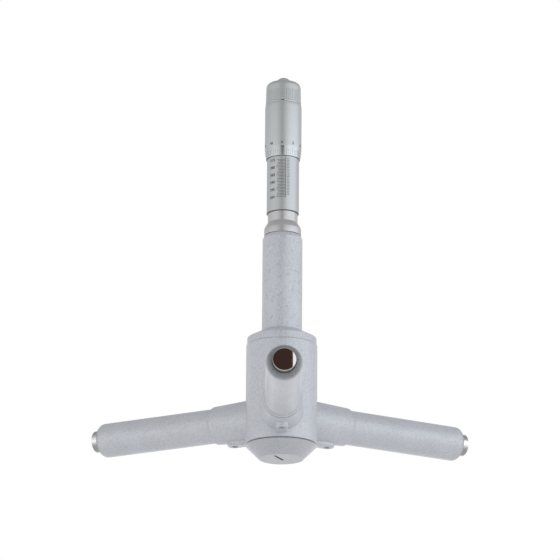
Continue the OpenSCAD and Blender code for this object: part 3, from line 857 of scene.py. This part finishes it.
class MICROMETER_OT_handle(Operator):
    """Make the painted handle tube and the bright barrel above it"""

    bl_idname = "micrometer.handle"
    bl_label = "Handle tube and barrel"

    def execute(self, context):
        settings = context.scene.micrometer
        size = settings.sizes
        low, high, radius = span("handle_tube")
        inner = radius - size.tube_wall
        tube = turned("handle_tube_shell", [
            (inner, low), (radius, low), (radius, high - size.tube_chamfer),
            (radius - size.tube_chamfer_in, high), (inner, high),
        ], size.facets)
        soften(tube, size.edge)
        dress(tube, paint(), "head", "paint", "handle_tube")

        low, crown, collar = span("head_barrel")
        neck, plug, bore, thread = size.neck, inner - 0.03 * MM, 5.3 * MM, 7.6 * MM
        collar_top = high + size.collar_height
        cone_top = collar_top + size.collar_cone
        thread_foot = foot("scale_sleeve") + 19.0 * MM
        barrel = turned("barrel_shell", [
            (bore, low), (plug, low), (plug, high),
            (collar - 0.1 * MM, high), (collar, high + 0.15 * MM),
            (collar, collar_top - 0.4 * MM), (collar - 0.1 * MM, collar_top + 0.3 * MM),
            (collar - 0.4 * MM, collar_top + 1.1 * MM),
            (neck + 0.3 * MM, cone_top - 0.2 * MM), (neck, cone_top + 0.4 * MM),
            (neck, thread_foot), (thread, thread_foot), (thread, crown), (bore, crown),
        ], size.facets)
        soften(barrel, size.metal_edge)
        dress(barrel, bright_steel(settings.finish), "head", "bright_steel", "head_barrel")
        return {"FINISHED"}


class MICROMETER_OT_sleeve(Operator):
    """Make the scale sleeve with its spanner hole, its lines and its numbers"""

    bl_idname = "micrometer.sleeve"
    bl_label = "Scale sleeve"

    def execute(self, context):
        settings = context.scene.micrometer
        size, scale = settings.sizes, settings.scale
        low, high, radius = span("scale_sleeve")
        bore, edge = size.neck + RUNNING_FIT, 0.35 * MM
        sleeve = turned("sleeve_shell", [
            (bore, low), (radius - edge, low), (radius, low + edge), (radius, high), (bore, high),
        ], size.facets)
        hole, hole_height = 0.8 * MM, low + 4.0 * MM
        carve(sleeve, round_cutter(hole, 2 * radius, 32, (0.0, radius, hole_height), UPRIGHT))
        smooth(sleeve, 20)
        soften(sleeve, size.metal_edge)
        dress(sleeve, chrome(), "sleeve", "satin_chrome", "scale_sleeve")

        marks = join(self.drawing(scale, radius), "sleeve_scale")
        roll_on(marks, radius, scale.ink_height)
        dress(marks, ink(), "sleeve", "satin_chrome")
        return {"FINISHED"}

    @staticmethod
    def drawing(scale, radius):
        """The unrolled scale: datum line, millimetre lines, half-millimetre ticks and numbers."""
        edge, steps = foot("thimble"), scale.last - scale.first
        first = edge - scale.drop
        tail, label_size = 0.8 * MM, (4.0 * MM, 1.9 * MM)
        end = first - steps * scale.step - tail
        datum = scale.datum * radius
        label, near, far, *line_ends = (
            math.radians(bearing) * radius
            for bearing in (-42.0, 13.0, 23.2, -24.5, -18.0, -19.6, -21.2, -22.8)
        )
        pieces = [printed_line((datum, (edge + end) / 2), (scale.stroke, edge - end))]

        def across(left, right, height, bends):
            """Adds a level line that can bend round the sleeve."""
            size = (right - left, scale.stroke)
            pieces.append(printed_line(((left + right) / 2, height), size, bends))

        for i in range(steps + 1):
            height = first - i * scale.step
            across(line_ends[i % 5], datum, height, 14)
            if i % 5 == 0 and scale.figures:
                words = str(scale.first + i)
                pieces.append(printed_figure(words, (label, height), label_size))
        for i in range(steps):
            across(near, far, first - (i - 0.5) * scale.step, 5)
        return pieces


class MICROMETER_OT_thimble(Operator):
    """Make the thimble, the divisions on its bevel and its numbers"""

    bl_idname = "micrometer.thimble"
    bl_label = "Thimble"

    def execute(self, context):
        settings = context.scene.micrometer
        size, scale = settings.sizes, settings.scale
        low, high, radius = span("thimble")
        bore, hollow = outer("scale_sleeve") + RUNNING_FIT, 8.4 * MM
        web = high - 7.2 * MM
        web_top, taper_top, taper_foot = web + 4.5 * MM, 3.93 * MM, 4.63 * MM
        bend, rise = radius - size.thimble_top, size.thimble_round
        thimble = turned("thimble_shell", [
            (bore, low), (size.bevel_edge, low), (radius, low + size.bevel_height),
            *arc((size.thimble_top, high - rise), bend, 0, 90, 9, rise / bend),
            (hollow, high), (hollow, web_top), (taper_top, web_top), (taper_foot, web), (bore, web),
        ], size.facets)
        soften(thimble, size.metal_edge)
        dress(thimble, chrome(), "thimble_unit", "satin_chrome", "thimble")

        inner, gap = size.lip - 0.8 * MM, 0.1 * MM
        lip_foot, lip_top = high - gap, foot("ratchet_knob") - gap
        lip = turned("thimble_lip", [
            (inner, lip_foot), (size.lip, lip_foot), (size.lip, lip_top), (inner, lip_top),
        ], size.facets)
        soften(lip, size.metal_edge / 2)
        # Painted highlight: the lip's light colour makes the gap under the knob show as a bright
        # line.
        polish = ground_steel("bright_lip", settings.finish.lip, 0.08, 0.01)
        dress(lip, polish, "thimble_unit", "satin_chrome")

        divisions = self.divisions(size, scale, low, radius)
        dress(divisions, ink(), "thimble_unit", "satin_chrome")
        if scale.figures:
            numbers = join(self.numbers(scale, low + 8.6 * MM, radius), "thimble_numbers")
            roll_on(numbers, radius, scale.ink_height)
            dress(numbers, ink(), "thimble_unit", "satin_chrome")
        return {"FINISHED"}

    @staticmethod
    def numbers(scale, height, radius):
        """Every fifth division's number, unrolled to half a turn either way of the front."""
        figures = []
        for i in range(NUMBERS):
            turn = scale.zero + 2 * math.pi * i / NUMBERS
            turn = (turn + math.pi) % (2 * math.pi) - math.pi
            words = str(5 * i)
            size = (1.05 * MM * len(words), 1.9 * MM)
            figures.append(printed_figure(words, (turn * radius, height), size))
        return figures

    @staticmethod
    def divisions(size, scale, low, radius):
        """Short lines all round the bevel, with a longer one at each number."""
        slope = (radius - size.bevel_edge) / size.bevel_height
        outwards = Vector((math.sin(scale.zero), -math.cos(scale.zero), 0.0))
        strokes = []
        for first, last, number in ((0.7, 4.4, scale.divisions), (4.4, 6.0, NUMBERS)):
            middle = (first + last) / 2 * MM
            stroke = printed_line((0.0, 0.0), (scale.fine_stroke, (last - first) * MM))
            apply_modifier(stroke, "SOLIDIFY", thickness=scale.ink_height, offset=0.0)
            stroke.rotation_euler = (math.atan(slope), 0.0, scale.zero)
            stroke.location = outwards * (size.bevel_edge + slope * middle)
            stroke.location.z = low + middle
            hold(stroke)
            bpy.ops.object.transform_apply()
            edit(stroke)
            bpy.ops.mesh.spin(steps=number, dupli=True, angle=2 * math.pi, center=(0.0, 0.0, 0.0),
                              axis=(0.0, 0.0, 1.0))
            merge_shell()
            strokes.append(stroke)
        return join(strokes, "thimble_divisions")


class MICROMETER_OT_ratchet(Operator):
    """Make the ribbed ratchet knob and the slotted screw on top of it"""

    bl_idname = "micrometer.ratchet"
    bl_label = "Ratchet knob and screw"

    def execute(self, context):
        size = context.scene.micrometer.sizes
        knob = self.knob(size)
        soften(knob, size.metal_edge)
        dress(knob, chrome(), "ratchet", "satin_chrome", "ratchet_knob")

        low, crown, radius = span("ratchet_screw")
        seat, shank, neck = top("ratchet_knob") + RUNNING_FIT, 1.5 * MM, 2.5 * MM
        dome, neck_foot = seat + size.nub_side, low + 7.0 * MM
        screw = turned("ratchet_screw_dome", [
            (shank, low), (shank, neck_foot), (neck, neck_foot), (neck, seat), (radius, seat),
            *arc((0.0, dome), radius, 0, 86, 16, (crown - dome) / radius),
        ], 96, hollow=False)
        slot = (12.0 * MM, 0.9 * MM, 1.6 * MM)
        carve(screw, slot_cutter(slot, (0.0, 0.0, crown), 0.0))
        smooth(screw, 25)
        soften(screw, size.metal_edge / 2)
        dress(screw, chrome(), "thimble_unit", "satin_chrome", "ratchet_screw")
        return {"FINISHED"}

    @staticmethod
    def knob(size):
        """Extrudes a ribbed ring up the side, then a plain one over the shoulder and inside."""
        low, high, radius = span("ratchet_knob")
        shoulder = high - size.knob_round
        lean = (radius - size.knob_shoulder) / (shoulder - low)
        band = low + size.rib_height
        runout, roof = band - 0.5 * MM, band + 0.7 * MM
        hole, hollow, edge = 2.55 * MM, 9.3 * MM, 0.15 * MM
        per_rib = 6
        piece = start_ring("knob_shell", radius, low, size.ribs * per_rib, False)

        def side(height):
            """The point of the leaning side at a height."""
            return radius - lean * (height - low), height

        def press(depth, height):
            """Moves the groove lines of the selected ring in, or out where depth is negative."""
            mesh = bmesh.from_edit_mesh(piece.data)
            pitch = 2 * math.pi / size.ribs
            for v in [v for v in mesh.verts if v.select]:
                turn = math.atan2(v.co.y, v.co.x) / pitch
                v.select = abs(turn - round(turn)) * per_rib < 0.5
            mesh.select_flush_mode()
            bmesh.update_edit_mesh(piece.data)
            scale_ring(1.0 - depth / side(height)[0], height)
            mesh = bmesh.from_edit_mesh(piece.data)
            for v in mesh.verts:
                v.select = abs(v.co.z - height) < 1e-6
            mesh.select_flush_mode()
            mesh.select_flush(True)
            bmesh.update_edit_mesh(piece.data)

        press(size.rib_depth, low)
        next_ring(side(low), side(runout))
        next_ring(side(runout), side(band))
        press(-size.rib_depth, band)
        path = [
            side(band),
            *arc((size.knob_shoulder - size.knob_round, shoulder), size.knob_round, 0, 88, 12),
            (hole + edge, high), (hole, high - edge), (hole, roof), (hollow, roof), (hollow, low),
        ]
        for ring, following in zip(path, path[1:]):
            next_ring(ring, following)
        bpy.ops.mesh.select_all(action="DESELECT")
        mesh = bmesh.from_edit_mesh(piece.data)
        for line in mesh.edges:
            if line.is_boundary:
                line.select_set(True)
        bmesh.update_edit_mesh(piece.data)
        bpy.ops.mesh.bridge_edge_loops()
        close_shell()
        return piece


class MICROMETER_OT_springs(Operator):
    """Wind one return spring and copy it into the three arms"""

    bl_idname = "micrometer.springs"
    bl_label = "Return springs"

    def execute(self, context):
        size = context.scene.micrometer.sizes
        low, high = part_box("front_spring")
        root, seat = -high.y, -low.y
        first = self.coil(size, high.x - size.wire / 2, root, seat)
        joints = frame["record"]["behaviour"]["joints"]
        travels = {joint["name"]: joint.get("range_m") for joint in joints}
        for side, piece in on_arms(first, "_return_spring"):
            joint = f"{side}_anvil_slide"
            dress(piece, drawn_wire(), "head", "spring_steel", f"{side}_spring")
            1.0 - travels[joint][1] / (seat - root)
            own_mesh(piece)
        return {"FINISHED"}

    @staticmethod
    def coil(size, radius, root, seat):
        """A helix of round wire along Z, closed at both ends."""
        clear_selection()
        bpy.ops.mesh.primitive_circle_add(vertices=12, radius=size.wire / 2, rotation=UPRIGHT,
                                          location=(radius, 0.0, root + size.wire / 2))
        piece = bpy.context.object
        bpy.ops.object.transform_apply()
        apply_modifier(piece, "SCREW", axis="Z", angle=2.0 * math.pi, steps=32, render_steps=32,
                       screw_offset=(seat - root - size.wire) / size.turns, iterations=size.turns)
        edit(piece)
        bpy.ops.mesh.remove_doubles(threshold=MERGE)
        bpy.ops.mesh.fill_holes(sides=0)
        close_shell()
        smooth(piece, 50)
        return piece


class MICROMETER_OT_mechanism(Operator):
    """Give the inner pieces and the guide screws their steels and bronze"""

    bl_idname = "micrometer.mechanism"
    bl_label = "Mechanism"

    def execute(self, context):
        finish = context.scene.micrometer.finish
        groups = (
            (ground_steel("tool_steel", finish.tool, 0.22, 0.2), INNER_STEEL),
            (drawn_wire(), SPRING_STEEL),
            (ground_steel("bearing_bronze", finish.bronze, 0.3, 0.2), ["rod_bushes"]),
        )
        for material, nodes in groups:
            for node in nodes:
                finish_node(node, material)
        return {"FINISHED"}


class MICROMETER_OT_stage(Operator):
    """Set up the camera, the studio light and the pale floor"""

    bl_idname = "micrometer.stage"
    bl_label = "Stage"

    def execute(self, context):
        scene = context.scene
        stage = scene.micrometer.stage
        scene.view_settings.view_transform = "Standard"
        self.camera(scene, stage)
        self.studio(scene, stage)
        self.lamp(stage, "left_soft_box", -62.0, 15.0, 1.2, 0.6, stage.left)
        self.lamp(stage, "right_soft_box", 66.0, 14.0, 2.0, 0.8, stage.right).color = stage.cool
        self.floor(stage)
        return {"FINISHED"}

    @staticmethod
    def bearing(turn, rise):
        """The direction at an angle to the right of the front and an angle above the horizon."""
        flat = math.cos(rise)
        return Vector((math.sin(turn) * flat, -math.cos(turn) * flat, math.sin(rise)))

    def camera(self, scene, stage):
        clear_selection()
        away = self.bearing(stage.aside, -stage.below)
        bpy.ops.object.camera_add(location=Vector(stage.look_at) + away * stage.distance)
        camera = bpy.context.object
        aim = (-away).to_track_quat("-Z", "Y").to_matrix().to_4x4()
        camera.rotation_euler = (aim @ Matrix.Rotation(stage.roll, 4, "Z")).to_euler()
        camera.data.sensor_width = 36.0
        camera.data.lens = stage.lens
        camera.data.clip_end = 20.0
        scene.camera = camera

    @staticmethod
    def studio(scene, stage):
        """White to the camera; to everything else a grey room, dark where the camera stands."""
        world = bpy.data.worlds.new("studio")
        scene.world = world
        tree = Recipe(world)
        x, y, z = tree.axes(tree.node("TexCoord", output="Generated"))
        turn = tree.calc("ARCTAN2", x, 0.0 - y) * (180.0 / math.pi)
        rise = tree.calc("ARCSINE", z) * (180.0 / math.pi)
        room = tree.ramp(rise / 180.0 + 0.5, [
            (0.0, 0.46), (0.33, 0.60), (0.44, 0.80), (0.50, 0.92),
            (0.54, 0.75), (0.59, 0.54), (0.7, 0.44), (1.0, 0.38),
        ])
        tall = tree.fade(rise, -3.0, 3.0) * tree.fade(rise, 27.0, 23.0)
        wide = tree.fade(turn, -19.0, -14.0) * tree.fade(turn, 7.6, 7.0)
        strip = tree.fade(turn, 7.0, 7.6) * tree.fade(turn, 20.0, 15.0)
        room = tree.mix(wide * tall, room, rgba(stage.dark))
        room = tree.mix(strip * tall, room, (0.95, 0.95, 0.95, 1.0))
        grey = tree.node("Background", None, {"Color": room, "Strength": stage.room})
        white = tree.node("Background", None,
                          {"Color": (1.0, 1.0, 1.0, 1.0), "Strength": 1.0})
        seen = tree.node("LightPath", output="Is Camera Ray")
        shader = tree.node("MixShader", None, {0: seen, 1: grey, 2: white})
        tree.node("OutputWorld", None, {"Surface": shader})

    def lamp(self, stage, name, turn, rise, width, height, brightness):
        """A soft box that looks at the middle of the picture from a bearing in degrees."""
        clear_selection()
        away = self.bearing(math.radians(turn), math.radians(rise))
        bpy.ops.object.light_add(type="AREA", location=Vector(stage.look_at) + away * LAMP_DISTANCE)
        lamp = bpy.context.object
        lamp.name = name
        lamp.rotation_euler = (-away).to_track_quat("-Z", "Y").to_euler()
        lamp.data.shape = "RECTANGLE"
        lamp.data.size = width
        lamp.data.size_y = height
        lamp.data.energy = brightness * math.pi * width * height
        lamp.visible_camera = False
        return lamp.data

    @staticmethod
    def floor(stage):
        """A round pale floor under the end cap, clear from below and fading out at its rim."""
        clear_selection()
        bpy.ops.mesh.primitive_circle_add(vertices=96, radius=FLOOR_RADIUS, fill_type="NGON",
                                          location=(0.0, 0.0, -FLOOR_DROP))
        floor = bpy.context.object
        floor.name = "pale_floor"
        bpy.ops.object.transform_apply()
        for ray in ("diffuse", "glossy", "transmission", "shadow"):
            setattr(floor, f"visible_{ray}", False)
        material, tree = new_recipe("pale_floor")
        reach = tree.node("VectorMath", {"operation": "LENGTH"}, {0: tree.place()},
                          output="Value")
        solid = tree.ramp(reach / FLOOR_RADIUS, [(0.3, 1.0), (0.95, 0.0)])
        behind = tree.node("NewGeometry", output="Backfacing")
        pale = tree.node("BsdfDiffuse", None, {"Color": rgba(stage.floor)})
        clear = tree.node("BsdfTransparent")
        shader = tree.node("MixShader", None, {0: solid * (1.0 - behind), 1: clear, 2: pale})
        tree.node("OutputMaterial", None, {"Surface": shader})
        floor.data.materials.append(material)
        floor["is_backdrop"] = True


OPERATORS = (
    MICROMETER_OT_head,
    MICROMETER_OT_arms,
    MICROMETER_OT_anvils,
    MICROMETER_OT_handle,
    MICROMETER_OT_sleeve,
    MICROMETER_OT_thimble,
    MICROMETER_OT_ratchet,
    MICROMETER_OT_springs,
    MICROMETER_OT_mechanism,
    MICROMETER_OT_stage,
)


class MICROMETER_PT_dressing(Panel):
    """Lists the dressing steps and their settings"""

    bl_idname = "MICROMETER_PT_dressing"
    bl_label = "Inside Micrometer"
    bl_space_type = "VIEW_3D"
    bl_region_type = "UI"
    bl_category = "Micrometer"

    def draw(self, context):
        settings = context.scene.micrometer
        for operator in OPERATORS:
            self.layout.operator(operator.bl_idname)
        for group in (settings.sizes, settings.finish, settings.scale, settings.stage):
            box = self.layout.box()
            for name in group.bl_rna.properties.keys():
                if name not in ("rna_type", "name"):
                    box.prop(group, name)


CLASSES = (
    MicrometerSizes,
    MicrometerFinish,
    MicrometerScale,
    MicrometerStage,
    MicrometerSettings,
    *OPERATORS,
    MICROMETER_PT_dressing,
)


def register():
    for cls in CLASSES:
        bpy.utils.register_class(cls)
    bpy.types.Scene.micrometer = PointerProperty(type=MicrometerSettings)


def unregister():
    del bpy.types.Scene.micrometer
    for cls in reversed(CLASSES):
        bpy.utils.unregister_class(cls)


def main():
    register()
    bpy.ops.micrometer.head()
    bpy.ops.micrometer.arms()
    bpy.ops.micrometer.anvils()
    bpy.ops.micrometer.handle()
    bpy.ops.micrometer.sleeve()
    bpy.ops.micrometer.thimble()
    bpy.ops.micrometer.ratchet()
    bpy.ops.micrometer.springs()
    bpy.ops.micrometer.mechanism()
    bpy.ops.micrometer.stage()
    bpy.context.view_layer.update()
    boxes = {"cad": cad_box, "visual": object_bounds()}
    {name: [list(corner) for corner in box] for name, box in boxes.items()}


if __name__ == "__main__":
    main()
